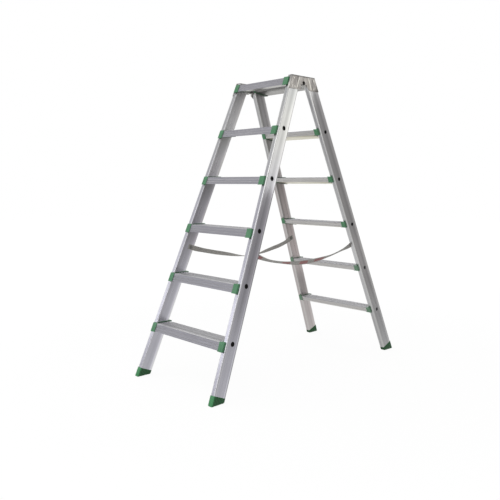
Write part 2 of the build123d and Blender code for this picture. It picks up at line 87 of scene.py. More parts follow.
turn = (radians(90 + CAMERA_TILT), 0, radians(CAMERA_TURN))
bpy.ops.object.camera_add(location=CAMERA_PLACE, rotation=turn)
camera = bpy.context.object
camera.name = "camera"
camera.data.lens = CAMERA_LENS
camera.data.shift_x, camera.data.shift_y = FRAME_SHIFT
bpy.context.scene.camera = camera
print("camera at", CAMERA_PLACE)

# %% [markdown]
# ## The webbing straps
# Two flat polyester straps keep the sections from sliding apart. Each is riveted flat against a front stile
# and a rear stile, and hangs between them in a shallow sag, twisting as it goes. A bevelled curve would
# make a round cord, so the route is drawn as a smooth NURBS line and a grid of faces is laid along it:
# every row of the grid stands square to the line, rolled by the angle that the webbing has there.

# %% Routes of the straps
# Points as x, y, z in metres, and the roll of the flat side from upright in degrees.
STRAP_ROUTES = {
    "left": [
        (-0.2155, -0.388, 0.6070, 0), (-0.2154, -0.350, 0.5940, 0), (-0.2145, -0.306, 0.5830, 32),
        (-0.2137, -0.250, 0.5710, 33), (-0.2133, -0.194, 0.5600, 33), (-0.2128, -0.135, 0.5495, 42),
        (-0.2125, -0.075, 0.5375, 61), (-0.2120, -0.014, 0.5280, 80), (-0.2122, 0.050, 0.5250, 76),
        (-0.2127, 0.110, 0.5340, 52), (-0.2131, 0.165, 0.5440, 28), (-0.2135, 0.215, 0.5540, 19),
        (-0.2138, 0.270, 0.5645, 15), (-0.2146, 0.320, 0.5785, 12), (-0.2154, 0.352, 0.5920, 0),
        (-0.2155, 0.388, 0.6070, 0),
    ],
    "right": [
        (0.2154, -0.388, 0.6080, 0), (0.2154, -0.352, 0.5950, 0), (0.2140, -0.318, 0.5830, -56),
        (0.2119, -0.270, 0.5670, -72), (0.2105, -0.215, 0.5550, -71), (0.2100, -0.155, 0.5460, -67),
        (0.2109, -0.098, 0.5390, -52), (0.2116, -0.037, 0.5350, -34), (0.2121, 0.025, 0.5350, -32),
        (0.2120, 0.076, 0.5380, -36), (0.2117, 0.128, 0.5425, -45), (0.2119, 0.182, 0.5490, -58),
        (0.2124, 0.236, 0.5595, -57), (0.2137, 0.285, 0.5725, -52), (0.2134, 0.322, 0.5820, -34),
        (0.2129, 0.346, 0.5880, -17), (0.2152, 0.366, 0.5980, 0), (0.2154, 0.388, 0.6080, 0),
    ],
}
ROUTE_ORDER = 3
ROUTE_STEPS = 12
ROLL_SOFTNESS = 9


def smooth_route(name, points):
    """Points along the NURBS line that the route's points control."""
    line = bpy.data.curves.new(name, "CURVE")
    line.dimensions = "3D"
    spline = line.splines.new("NURBS")
    spline.points.add(len(points) - 1)
    for control, point in zip(spline.points, points):
        control.co = (*point[:3], 1)
    spline.order_u = ROUTE_ORDER
    spline.use_endpoint_u = True
    spline.resolution_u = ROUTE_STEPS
    holder = bpy.data.objects.new(name, line)
    bpy.context.collection.objects.link(holder)
    drawn = bpy.data.meshes.new_from_object(holder)
    route = [vertex.co.copy() for vertex in drawn.vertices]
    bpy.data.objects.remove(holder)
    bpy.data.meshes.remove(drawn)
    return route


def route_rolls(route, points):
    """Roll of the webbing at each point of the smooth line, with the changes softened."""
    rolls = np.interp([p.y for p in route], [p[1] for p in points], [p[3] for p in points])
    reach = ROLL_SOFTNESS // 2
    padded = np.pad(rolls, reach, mode="edge")
    soft = np.convolve(padded, np.ones(ROLL_SOFTNESS) / ROLL_SOFTNESS, mode="valid")
    return [radians(angle) for angle in soft]


# %% Lay a grid along each route
STRAP_WIDTH = 0.025
STRAP_THICK = 0.0016
STRAP_CAMBER = 0.0006
STRAP_COLUMNS = 8
STRAP_SMOOTH = 40
STILE_SIDE = Vector((0.99833, 0.02167, 0.05351))


def strap_axes(route, index, roll, mirrored):
    """Width and thickness directions of the webbing at one point of its route."""
    before = route[max(index - 1, 0)]
    after = route[min(index + 1, len(route) - 1)]
    along = (after - before).normalized()
    side = STILE_SIDE.copy()
    side.y *= -1 if route[index].y > 0 else 1
    side.x *= -1 if mirrored else 1
    side = (side - along * side.dot(along)).normalized()
    upright = side.cross(along) if not mirrored else along.cross(side)
    width = upright * cos(roll) - side * sin(roll)
    return width, width.cross(along)


def make_strap(side):
    """Flat webbing along a route, with its own UV map: U along the strap, V across it."""
    points = STRAP_ROUTES[side]
    route = smooth_route(f"{side}_route", points)
    rolls = route_rolls(route, points)
    rows = len(route) - 1
    bpy.ops.mesh.primitive_grid_add(x_subdivisions=rows, y_subdivisions=STRAP_COLUMNS, size=1)
    strap = bpy.context.object
    strap.name = f"{side}_webbing"
    axes = [strap_axes(route, i, roll, side == "left") for i, roll in enumerate(rolls)]
    for vertex in strap.data.vertices:
        index = round((vertex.co.x + 0.5) * rows)
        across = 2 * vertex.co.y
        width, face = axes[index]
        lift = STRAP_CAMBER * (1 - across * across)
        vertex.co = route[index] + width * (across * STRAP_WIDTH / 2) + face * lift
    wall = strap.modifiers.new("thickness", "SOLIDIFY")
    wall.thickness = STRAP_THICK
    wall.offset = 0
    bpy.ops.object.modifier_apply(modifier=wall.name)
    bpy.ops.object.shade_smooth_by_angle(angle=radians(STRAP_SMOOTH))
    return strap, route


straps = {}
for side in STRAP_ROUTES:
    strap, route = make_strap(side)
    length = sum((b - a).length for a, b in zip(route, route[1:]))
    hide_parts(f"{side}_strap")
    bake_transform(strap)
    straps[side] = (strap, length)
    print(strap.name, "length", round(length, 4), "faces", len(strap.data.polygons))

# %% [markdown]
# ## Rolled edges
# A drawing has knife edges, but no moulding, pressing or extrusion has. Such an edge catches no light, and
# that alone gives a model away. The CAD nodes stay as they are: each gets a copy whose loose triangles are
# merged into one skin and whose flat triangles are joined into whole faces. A Bevel modifier then rolls
# over every edge sharper than thirty degrees, and the copy stands in the node's place.

# %% Copies with rolled edges
EDGE_ANGLE = 30
SMOOTH_ANGLE = 38
MERGE_DISTANCE = 2e-6
FLAT_ANGLE = 0.5
shown = dict(nodes)


def rolled_copy(name, radius, steps):
    """Copy of a CAD node with rounded edges, put in the node's place."""
    bpy.ops.object.select_all(action="DESELECT")
    nodes[name].select_set(True)
    bpy.context.view_layer.objects.active = nodes[name]
    bpy.ops.object.duplicate()
    piece = bpy.context.object
    piece.name = name + "_rolled"
    del piece["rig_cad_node"]
    bpy.ops.object.parent_clear(type="CLEAR_KEEP_TRANSFORM")
    bpy.ops.object.mode_set(mode="EDIT")
    bpy.ops.mesh.select_all(action="SELECT")
    bpy.ops.mesh.customdata_custom_splitnormals_clear()
    bpy.ops.mesh.remove_doubles(threshold=MERGE_DISTANCE)
    bpy.ops.mesh.dissolve_limited(angle_limit=radians(FLAT_ANGLE))
    bpy.ops.object.mode_set(mode="OBJECT")
    roll = piece.modifiers.new("rolled edges", "BEVEL")
    roll.width = radius
    roll.segments = steps
    roll.limit_method = "ANGLE"
    roll.angle_limit = radians(EDGE_ANGLE)
    bpy.ops.object.modifier_apply(modifier=roll.name)
    bpy.ops.object.shade_smooth_by_angle(angle=radians(SMOOTH_ANGLE))
    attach(piece, "rear_section" if name.startswith("rear") else "front_section")
    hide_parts(name)
    shown[name] = piece


def roll_edges(ending, radius, steps):
    """Rolled copies of all nodes whose names have this ending."""
    chosen = [name for name in nodes if name.endswith(ending)]
    for name in chosen:
        rolled_copy(name, radius, steps)
    faces = sum(len(shown[name].data.polygons) for name in chosen)
    print("rolled", len(chosen), "nodes ending in", ending, "-", faces, "faces")


TREADS = tuple(f"_tread_{number}" for number in range(1, 7))
# What the names end in, the radius in metres and the steps of the curve.
roll_edges("_caps", 0.0009, 2)
roll_edges("_foot", 0.0012, 2)
roll_edges("_hinge_plate", 0.0006, 2)
roll_edges(TREADS, 0.0003, 1)

# %% [markdown]
# ## Shader nodes by code
# Floor, light and finishes are all node trees. A few short helpers keep them readable: one adds a node and
# fills its inputs, and the others are the sums and mixes that nearly every tree needs. A socket knows its
# own tree, so a node that others feed finds its tree by itself.

# %% Helpers for values
def place(tree, kind, sockets=None, **options):
    """Add a shader node, set its options and fill or link its inputs; returns its outputs."""
    made = tree.nodes.new("ShaderNode" + kind)
    for option, value in options.items():
        setattr(made, option, value)
    for name, value in (sockets or {}).items():
        if isinstance(value, bpy.types.NodeSocket):
            tree.links.new(value, made.inputs[name])
        else:
            made.inputs[name].default_value = value
    return made.outputs


def feed(kind, sockets, **options):
    """Add a node to the tree of the sockets that feed it."""
    tree = next(value.id_data for value in sockets.values() if isinstance(value, bpy.types.NodeSocket))
    return place(tree, kind, sockets, **options)


def link(value, target):
    """Link one socket to another in the same tree."""
    value.id_data.links.new(value, target)


def arithmetic(operation, *values):
    """Result of a Math node on values or sockets."""
    return feed("Math", dict(enumerate(values)), operation=operation)[0]


def product(first, *others):
    """Values or sockets multiplied together."""
    for other in others:
        first = arithmetic("MULTIPLY", first, other)
    return first


def weighed(first, weight, second, other):
    """Two values added, each times its own weight."""
    return arithmetic("MULTIPLY_ADD", second, other, product(first, weight))


def apart(first, second):
    """How far apart two values are."""
    return arithmetic("ABSOLUTE", arithmetic("SUBTRACT", first, second))


def graded(value, low, high, first=0.0, last=1.0):
    """A value mapped from one range onto another, held at its ends."""
    ends = {"Value": value, "From Min": low, "From Max": high, "To Min": first, "To Max": last}
    return feed("MapRange", ends)[0]


def fading(value, full, gone):
    """1 at one end of a range and 0 at the other."""
    return graded(value, full, gone, 1.0, 0.0)


def between(share, first, last):
    """A value between two values or sockets, by a share."""
    return graded(share, 0.0, 1.0, first, last)


# %% Helpers for places and colours
def vectors(operation, *values):
    """Result of a Vector Math node: a value for a length or a dot product, or else a vector."""
    made = feed("VectorMath", dict(enumerate(values)), operation=operation)
    return made["Value" if operation in ("LENGTH", "DOT_PRODUCT") else "Vector"]


def split(vector):
    """The X, Y and Z of a vector."""
    return feed("SeparateXYZ", {0: vector})


def coordinates(tree, kind="Object"):
    """Place of what is being shaded; object coordinates are metres in the shared frame."""
    return place(tree, "TexCoord")[kind]


def grey(tone):
    """A grey as a colour."""
    return (tone, tone, tone, 1)


def two_tone(share, first, second, blend="MIX"):
    """Colour between two colours or colour sockets."""
    sockets = {0: share, 6: first, 7: second}
    return feed("Mix", sockets, data_type="RGBA", blend_type=blend)[2]


def tinted(share, first, cast):
    """A colour multiplied by a cast, by a share."""
    return two_tone(share, first, cast, "MULTIPLY")


def ramp(value, stops):
    """Colour from a row of stops from 0 to 1, each a position and a grey or a colour."""
    made = feed("ValToRGB", {"Fac": value})
    row = made[0].node.color_ramp.elements
    for spot, tone in stops[1:-1]:
        row.new(spot)
    for element, (spot, tone) in zip(row, stops):
        element.color = tone if isinstance(tone, tuple) else grey(tone)
    return made[0]


def bare_tree(owner):
    """Node tree of a material or a world, emptied."""
    owner.use_nodes = True
    owner.node_tree.nodes.clear()
    return owner.node_tree


# %% [markdown]
# ## The studio
# The picture has a bare white floor and background. White comes from the colour of the floor and the world,
# not from strong lamps: both are plain white to the camera, and softer as a light. Metal shows little but
# what it reflects, so the studio has a shape for reflections: a white backdrop behind the ladder, a dimmer
# room where the camera stands, and a pale ceiling.

# %% Floor
FLOOR_SIZE = 24.0
FLOOR_DROP = 0.0004
FLOOR_WHITE = grey(0.9)
FLOOR_GLOW = 0.92
GLOW_REACH = (1.2, 3.2)
PURE_WHITE = grey(1)
BACKDROP_WAY = (-0.69, 0.72, 0.0)
ROOM_WAY = (-0.7, -0.7, 0.0)
FLOOR_BRIGHT = 1.02
FLOOR_MIRRORED = 0.66
FLOOR_DIM = 0.10
# Distances over which the mirrored floor turns bright behind the ladder, and dim to either side.
BRIGHT_REACH = (1.0, 2.6)
DIM_REACHES = [(0.9, 1.5), (-0.6, -1.6)]


def seen_rays(tree):
    """1 for what the camera sees directly, in a reflection or through glass."""
    path = place(tree, "LightPath")
    mirror = arithmetic("MAXIMUM", path["Is Camera Ray"], path["Is Glossy Ray"])
    return arithmetic("MAXIMUM", mirror, path["Is Transmission Ray"])


bpy.ops.mesh.primitive_plane_add(size=FLOOR_SIZE, location=(0, 0, -FLOOR_DROP))
floor = bpy.context.object
floor.name = "floor"
paper = bpy.data.materials.new("floor_paper")
tree = bare_tree(paper)
spot = coordinates(tree)
glowing = graded(vectors("LENGTH", spot), *GLOW_REACH, FLOOR_GLOW, 1.0)
behind = vectors("DOT_PRODUCT", spot, BACKDROP_WAY)
dimming = graded(behind, *BRIGHT_REACH, FLOOR_BRIGHT - FLOOR_MIRRORED, 0.0)
forward = vectors("DOT_PRODUCT", spot, ROOM_WAY)
for reach in DIM_REACHES:
    dimming = arithmetic("ADD", dimming, graded(forward, *reach, 0.0, FLOOR_DIM))
mirrored = place(tree, "LightPath")["Is Glossy Ray"]
strength = arithmetic("SUBTRACT", FLOOR_BRIGHT, product(mirrored, dimming))
matt = place(tree, "BsdfDiffuse", {"Color": FLOOR_WHITE})[0]
glow = feed("Emission", {"Color": PURE_WHITE, "Strength": strength})[0]
share = product(seen_rays(tree), glowing)
mixed = feed("MixShader", {"Fac": share, 1: matt, 2: glow})[0]
feed("OutputMaterial", {"Surface": mixed})
floor.data.materials.append(paper)
print("floor", FLOOR_SIZE, "m, glow", FLOOR_GLOW)

# %% World
WORLD_LIGHT = 1.06
WORLD_DIM = 0.12
LIGHT_WAY = (-0.62, -0.62, 0.48)
LIGHT_SPREAD = (-0.9, 1.0)
ROOM_FRONT = (0.37, 0.365, 0.40, 1)
ROOM_SIDE = (0.33, 0.32, 0.315, 1)
CEILING = (0.45, 0.45, 0.47, 1)
# Ranges of a direction where front and side walls, walls and ceiling, room and backdrop meet.
WALL_TURN = (-0.2, 0.3)
CEILING_TURN = (0.32, 0.6)
BACKDROP_TURN = (0.0, 0.4)


def room_tone(tree):
    """What a reflection shows in each direction of the studio."""
    way = coordinates(tree, "Generated")
    parts = split(way)
    walls = two_tone(graded(parts["Y"], *WALL_TURN), ROOM_FRONT, ROOM_SIDE)
    room = two_tone(graded(parts["Z"], *CEILING_TURN), walls, CEILING)
    behind = vectors("DOT_PRODUCT", way, BACKDROP_WAY)
    return two_tone(graded(behind, *BACKDROP_TURN), room, PURE_WHITE)


world = bpy.data.worlds.new("studio")
tree = bare_tree(world)
mirrored = place(tree, "LightPath")["Is Glossy Ray"]
seen = two_tone(mirrored, PURE_WHITE, room_tone(tree))
lit = vectors("DOT_PRODUCT", coordinates(tree, "Generated"), LIGHT_WAY)
power = graded(lit, *LIGHT_SPREAD, WORLD_DIM, WORLD_LIGHT)
light = feed("Background", {"Color": PURE_WHITE, "Strength": power})[0]
view = feed("Background", {"Color": seen, "Strength": 1.0})[0]
mixed = feed("MixShader", {"Fac": seen_rays(tree), 1: light, 2: view})[0]
feed("OutputWorld", {"Surface": mixed})
bpy.context.scene.world = world
bpy.context.scene.view_settings.view_transform = "Standard"
print("world light", WORLD_LIGHT)

# %% [markdown]
# ## Soft boxes and cards
# Three soft boxes light the ladder: a large one high over the camera, which runs down the rounded corners,
# one high in front, and a low one to the front left, which shines in the stiles' front edges. A fourth lamp
# is a narrow strip near the top of the front stile, and shines in the metal of that face alone. Two cards
# only show in the metal, as a photographer's flags do. A grey one to the right darkens the outer faces, and
# a tall white one in front draws the bright line down the near corner.

# %% Soft boxes
# Each soft box: place, what it faces, width, height, brightness of its cloth, colour and tilt in degrees.
SOFT_BOXES = {
    "over_camera": ((2.35, -1.85, 3.0), (0.0, -0.2, 0.9), 1.7, 1.4, 1.45, (1.0, 1.0, 0.99), 0),
    "front_high": ((-0.1, -2.9, 2.15), (0.0, -0.3, 0.9), 1.3, 1.4, 1.0, (1.0, 1.0, 1.0), 0),
    "front_left": ((-1.78, -2.15, 1.06), (0.0, -0.5, 0.5), 1.0, 0.8, 1.28, (0.95, 0.955, 1.0), -16),
    "stile_strip": ((0.374, 0.042, 1.2), (0.058, -0.346, 1.2), 0.17, 0.62, 0.86, (1.0, 1.0, 0.97), -17),
}
SHINE_ONLY = "stile_strip"


def facing(spot, target):
    """Turn that points a lamp or a card from its place at another."""
    return (Vector(target) - Vector(spot)).to_track_quat("-Z", "Y").to_euler()


for name, (spot, target, width, height, brightness, colour, tilt) in SOFT_BOXES.items():
    bpy.ops.object.light_add(type="AREA", location=spot, rotation=facing(spot, target))
    lamp = bpy.context.object
    lamp.name = name
    lamp.rotation_euler.rotate_axis("Z", radians(tilt))
    lamp.data.shape = "RECTANGLE"
    lamp.data.size = width
    lamp.data.size_y = height
    lamp.data.energy = brightness * np.pi * width * height
    lamp.data.color = colour
    lamp.visible_camera = False
    lamp.visible_diffuse = name != SHINE_ONLY
    print(name, "soft box,", round(lamp.data.energy, 2), "W")

# %% Cards
# Each card: place, what it faces, width, height, colour and brightness.
CARDS = {
    "grey_card": ((1.5, 1.65, 0.95), (0.1, -0.1, 0.95), 3.6, 1.9, (0.34, 0.33, 0.325, 1), 1.0),
    "corner_card": ((0.27, -1.4, 1.15), (0.27, -0.4, 0.8), 0.5, 2.0, PURE_WHITE, 1.7),
}

for name, (spot, target, width, height, colour, brightness) in CARDS.items():
    bpy.ops.mesh.primitive_plane_add(size=1, location=spot, rotation=facing(spot, target))
    card = bpy.context.object
    card.name = name
    card.scale = (width, height, 1)
    card.visible_camera = False
    card.visible_diffuse = False
    card.visible_shadow = False
    felt = bpy.data.materials.new(name + "_cloth")
    tree = bare_tree(felt)
    glow = place(tree, "Emission", {"Color": colour, "Strength": brightness})[0]
    feed("OutputMaterial", {"Surface": glow})
    card.data.materials.append(felt)
    print(name, width, "by", height, "m")

# %% [markdown]
# ## Effects that several finishes share
# Extruded aluminium, stamped steel and moulded plastic differ in colour, but some of their marks are the
# same effect at another scale. Each such effect is a node group with named sockets, built once. The groups
# put out only values, so every material keeps its own shader and its own plain numbers.

# %% Tools for groups and materials
RELIEF_STRENGTH = 0.15
RELIEF_DEPTH = 0.0002


def new_group(name, inputs, outputs):
    """A shader node group with named value or vector inputs and value outputs."""
    group = bpy.data.node_groups.new(name, "ShaderNodeTree")
    for label, kind, value in inputs:
        socket = group.interface.new_socket(label, in_out="INPUT", socket_type="NodeSocket" + kind)
        if value is not None:
            socket.default_value = value
    for label in outputs:
        group.interface.new_socket(label, in_out="OUTPUT", socket_type="NodeSocketFloat")
    entry = group.nodes.new("NodeGroupInput").outputs
    leave = group.nodes.new("NodeGroupOutput").inputs
    print("group", name, "puts out", ", ".join(outputs))
    return group, entry, leave


def use_group(tree, group, sockets):
    """Place a group in a material and fill its inputs."""
    return place(tree, "Group", sockets, node_tree=group)


def new_finish(name, roughness, metallic=0.0):
    """A material with a Principled shader; returns it with its tree and the shader's inputs."""
    finish = bpy.data.materials.new(name)
    finish.use_nodes = True
    shader = finish.node_tree.nodes["Principled BSDF"]
    shader.inputs["Roughness"].default_value = roughness
    shader.inputs["Metallic"].default_value = metallic
    return finish, finish.node_tree, shader.inputs


def add_relief(shader, height, strength=RELIEF_STRENGTH, depth=RELIEF_DEPTH):
    """Fine relief from a height between 0 and 1, with its depth in metres."""
    relief = feed("Bump", {"Strength": strength, "Distance": depth, "Height": height})
    link(relief[0], shader["Normal"])


# %% Drawn metal
# How much slower the streaks change along the draw than across it.
DRAWN_OUT = {"Bands": 0.006, "Lines": 0.012}
STREAK_RANGE = (0.3, 0.7)


def build_drawn_metal():
    """Streaks that a die leaves: X of the grain runs with the draw, Y and Z across it, in metres."""
    counts = [("Bands per metre", "Float", 90.0), ("Lines per metre", "Float", 900.0)]
    group, entry, leave = new_group("drawn_metal", [("Grain", "Vector", None), *counts], tuple(DRAWN_OUT))
    for label, slowness in DRAWN_OUT.items():
        rate = entry[label + " per metre"]
        slow = product(rate, slowness)
        rates = feed("CombineXYZ", {0: slow, 1: rate, 2: rate})[0]
        stretched = vectors("MULTIPLY", entry["Grain"], rates)
        noise = {"Vector": stretched, "Scale": 1.0, "Detail": 3.0}
        streaks = feed("TexNoise", noise)[0]
        link(graded(streaks, *STREAK_RANGE), leave[label])
    return group


drawn_metal = build_drawn_metal()

# %% Handling marks
# The size of each kind of mark, and the range of the noise that it takes up.
MARK_RANGES = {"Smudges": ("Smudge size", 0.42, 0.66), "Scuffs": ("Scuff size", 0.6, 0.74)}


def build_handling():
    """Broad smudges and short scuffs from use."""
    inputs = [("Place", "Vector", None), ("Smudge size", "Float", 0.09), ("Scuff size", "Float", 0.012)]
    group, entry, leave = new_group("handling_marks", inputs, tuple(MARK_RANGES))
    for label, (size, low, high) in MARK_RANGES.items():
        rate = arithmetic("DIVIDE", 1.0, entry[size])
        noise = {"Vector": entry["Place"], "Scale": rate, "Detail": 4.0}
        marks = feed("TexNoise", noise)[0]
        link(graded(marks, low, high), leave[label])
    return group


handling = build_handling()

# %% [markdown]
# The four stiles are mirror images of one another, and they lean two ways. The absolute values of X and Y
# bring them together, and three dot products turn a place into distances along, across and through the
# tube. Treads, feet and hinge plates sit on the stiles, so their finishes use the same measure.

# %% Coordinates along a stile
STILE_FOOT = (0.26748, -0.62897, 0.0)
STILE_ALONG = (-0.05773, 0.37479, 0.92531)
STILE_BACK = (0.0, 0.92686, -0.37542)


def build_stile_frame():
    """A place measured in the frame of the nearest stile, in metres from the middle of its foot."""
    axes = {"Along": STILE_ALONG, "Outward": tuple(STILE_SIDE), "Back": STILE_BACK}
    group, entry, leave = new_group("stile_frame", [("Place", "Vector", None)], tuple(axes))
    folded = vectors("ABSOLUTE", entry["Place"])
    front = vectors("MULTIPLY", folded, (1, -1, 1))
    offset = vectors("SUBTRACT", front, STILE_FOOT)
    for label, axis in axes.items():
        link(vectors("DOT_PRODUCT", offset, axis), leave[label])
    return group


stile_frame = build_stile_frame()


def stile_place(tree):
    """X, Y and Z of a place, and its measures in the stile's frame: Along, Outward and Back."""
    spot = coordinates(tree)
    measures = [*split(spot), *use_group(tree, stile_frame, {"Place": spot})]
    return {measure.name: measure for measure in measures}


# %% [markdown]
# ## Aluminium of the stiles
# The stiles are extruded and satin anodised, so their streaks run along the tube. Corners are burnished
# where hands and racks rub them, and painted highlights run along them too. Light and shade are also
# painted over the faces: on parts of single tubes, some slightly tinted, darker down the middle of the
# outer faces, along the edges, under the treads and round the holes. Each mark is a share from 0 to 1,
# worked out from the place on the tube, and lays a colour over the metal. A range is in metres, of height
# or from the middle of the tube, and a fade also has its share at both ends.

# %% Painted light and shade on single tubes
HALF_DEPTH, HALF_THICK = 0.0335, 0.013
LEFT, RIGHT = -1, 1
FRONT, REAR = -1, 1
BOTH = 0
MIDDLE_BLUR = 0.05
# Depths below a face where a mark on it is full and where it is gone.
FACE_SKINS = {
    "inner": (0.002, 0.003), "front": (0.003, 0.006), "outer": (0.002, 0.003), "edge": (0.002, 0.004),
}
# Each painted cast of light and shade, some slightly tinted: side, end, faces, the heights where it is full
# and where it is gone, and its colour.
STILE_PAINTED_LIGHT = [
    (BOTH, FRONT, "all", 0.8, 1.15, (0.975, 0.967, 1.045, 1)),
    (LEFT, REAR, "all", 0.9, 1.1, (1.06, 0.985, 0.96, 1)),
    (LEFT, REAR, "inner", 0.5, 0.9, (1.36, 1.33, 1.33, 1)),
    (LEFT, REAR, "inner", 0.38, 0.46, (0.735, 0.75, 0.75, 1)),
    (LEFT, REAR, "inner", 0.34, 0.42, grey(0.74)),
    (LEFT, REAR, "inner", 0.22, 0.26, grey(1.35)),
    (LEFT, FRONT, "inner", 1.0, 0.9, (1.16, 1.16, 1.165, 1)),
    (LEFT, FRONT, "front", 1.0, 0.8, (0.84, 0.84, 0.845, 1)),
    (RIGHT, FRONT, "all", 1.15, 0.8, (0.995, 1.0, 0.965, 1)),
    (RIGHT, FRONT, "all", 1.38, 1.24, (0.82, 0.83, 0.85, 1)),
    (RIGHT, REAR, "all", 0.60, 0.70, grey(1.22)),
    (RIGHT, REAR, "all", 0.42, 0.50, grey(0.87)),
    (RIGHT, REAR, "all", 0.20, 0.28, grey(0.80)),
]


def half_share(parts, axis, sign):
    """1 on one half of the ladder: left or right in X, front or rear in Y."""
    return graded(parts[axis], -MIDDLE_BLUR * sign, MIDDLE_BLUR * sign)


def face_share(face, tube):
    """1 on one kind of face of the tubes."""
    full, gone = FACE_SKINS[face]
    if face == "front":
        return fading(tube["Back"], full - HALF_DEPTH, gone - HALF_DEPTH)
    way = -1 if face == "inner" else 1
    return fading(tube["Outward"], way * (HALF_THICK - full), way * (HALF_THICK - gone))


def painted_tube_light(metal, tube):
    """Painted light and shade, some slightly tinted, on parts of single lengths of tube."""
    for side, end, faces, full, gone, cast in STILE_PAINTED_LIGHT:
        share = fading(tube["Z"], full, gone)
        for axis, sign in (("X", side), ("Y", end)):
            if sign != BOTH:
                share = product(share, half_share(tube, axis, sign))
        if faces != "all":
            share = product(share, face_share(faces, tube))
        metal = tinted(share, metal, cast)
    return metal


# %% Painted shade and highlights on the outer faces
# Painted shade down the middle of the outer faces.
MIDDLE_SHADE = grey(0.88)
MIDDLE_BAND = (0.002, 0.012)
MIDDLE_RISE = (0.2, 0.4)
# A painted highlight beside the rear corner, and painted shade on the corner in front.
EDGE_HIGHLIGHT = grey(1.35)
EDGE_PLACE = 0.021
EDGE_BAND = (0.002, 0.004)
EDGE_FADE = (0.85, 1.0, 1.0, 0.2)
EDGE_SHADE = (0.62, 0.62, 0.63, 1)
SHADE_BAND = (0.025, 0.028)
SHADE_SIDE = (0.0, 0.004)
# Painted shade in a ring round each hole plug in front.
HOLE_SHADE = grey(0.02)
HOLE_PITCH = 0.25397
HOLE_ASIDE = 0.0015
HOLE_RIM = (0.0105, 0.0115)
HOLE_FACE = (0.009, 0.010)


def painted_middle_shade(metal, tube):
    """Painted shade down the middle of the outer faces, above the lowest tread."""
    middle = fading(arithmetic("ABSOLUTE", tube["Back"]), *MIDDLE_BAND)
    above = graded(tube["Z"], *MIDDLE_RISE)
    return tinted(product(middle, face_share("outer", tube), above), metal, MIDDLE_SHADE)


def rear_corner(metal, tube):
    """A painted highlight beside the rear corner, and painted shade on the corner itself in front."""
    near = fading(apart(tube["Rearward"], EDGE_PLACE), *EDGE_BAND)
    line = product(face_share("edge", tube), near, graded(tube["Z"], *EDGE_FADE))
    metal = tinted(line, metal, EDGE_HIGHLIGHT)
    outer = graded(tube["Outward"], *SHADE_SIDE)
    front = half_share(tube, "Y", FRONT)
    corner = product(graded(tube["Rearward"], *SHADE_BAND), outer, front)
    return tinted(corner, metal, EDGE_SHADE)


def painted_hole_shade(metal, tube):
    """Painted shade in a ring round the plug of each access hole in front."""
    number = arithmetic("ROUND", arithmetic("DIVIDE", tube["Along"], HOLE_PITCH))
    above = arithmetic("SUBTRACT", tube["Along"], product(number, HOLE_PITCH))
    beside = arithmetic("ADD", tube["Back"], HOLE_ASIDE)
    spot = feed("CombineXYZ", {0: above, 1: beside})[0]
    near = fading(vectors("LENGTH", spot), *HOLE_RIM)
    outer = graded(tube["Outward"], *HOLE_FACE)
    ring_shade = product(near, outer, half_share(tube, "Y", FRONT))
    return two_tone(ring_shade, metal, HOLE_SHADE)


# %% Painted light and shade across the faces
# Painted light towards the rear edge of the wide faces, and painted shade towards the front edge of the
# inner faces in front.
BACK_HIGHLIGHT = grey(1.26)
SHEEN_RISE = (0.2, 0.45)
SHEEN_BAND = (0.006, 0.030)
INNER_SHADE = grey(0.76)
INNER_BAND = (-0.030, -0.008)
TREAD_PITCH = 0.235
# Painted shadow under each upper tread, on the inner faces on the left.
SHADOW_UNDER_TREAD = grey(0.66)
# Part of the way from one tread up to the next.
UNDER_LEVEL = (0.4, 0.85)
UNDER_RISE = (0.6, 0.8)
UNDER_TOP = (1.18, 1.22)
UNDER_REAR = 0.55
# Painted shade along the front edge of the rear left inner face, and a painted highlight along the rear
# edges.
CORNER_SHADE = grey(0.66)
CORNER_BAND = (-0.026, -0.016)
CORNER_RISE = (0.5, 0.8)
RIM_HIGHLIGHT = grey(1.33)
RIM_BAND = (0.012, 0.022)


def shaded_faces(metal, tube):
    """Painted light on wide faces towards the rear edge, and painted shade on inner ones in front towards
    the front edge.
    """
    above = graded(tube["Z"], *SHEEN_RISE)
    lit = arithmetic("MAXIMUM", above, half_share(tube, "X", LEFT))
    sheen = product(lit, graded(tube["Rearward"], *SHEEN_BAND))
    metal = tinted(sheen, metal, BACK_HIGHLIGHT)
    front = product(half_share(tube, "Y", FRONT), fading(tube["Rearward"], *INNER_BAND))
    shade = product(face_share("inner", tube), above, front)
    return tinted(shade, metal, INNER_SHADE)


def left_painted_light_and_shade(metal, tube):
    """On the left: a painted shadow under each upper tread, painted shade along one edge and a painted
    highlight along the other.
    """
    inner = product(face_share("inner", tube), half_share(tube, "X", LEFT))
    rear = half_share(tube, "Y", REAR)
    level = arithmetic("FRACT", arithmetic("DIVIDE", tube["Z"], TREAD_PITCH))
    strength = between(rear, fading(tube["Z"], *UNDER_TOP), UNDER_REAR)
    under = product(graded(level, *UNDER_LEVEL), graded(tube["Z"], *UNDER_RISE), strength)
    metal = tinted(product(under, inner), metal, SHADOW_UNDER_TREAD)
    high = graded(tube["Z"], *CORNER_RISE)
    corner = product(fading(tube["Rearward"], *CORNER_BAND), rear, high, inner)
    metal = tinted(corner, metal, CORNER_SHADE)
    rim = product(graded(tube["Rearward"], *RIM_BAND), between(rear, 1.0, high), inner)
    return tinted(rim, metal, RIM_HIGHLIGHT)


# %% Burnished corners with painted highlights
# One colour for the burnish and the painted highlight along the corners.
STILE_BURNISH_AND_HIGHLIGHT = (0.88, 0.875, 0.85, 1)
RUB_LIGHT_WEAK, RUB_LIGHT_PLAIN, RUB_LIGHT_STRONG = 0.3, 0.5, 0.85
RUB_LIGHT_RISE = (0.85, 1.05)
RUB_LIGHT_SIDE = (-0.004, 0.004)
RUB_LIGHT_REACH = (0.003, 0.011)


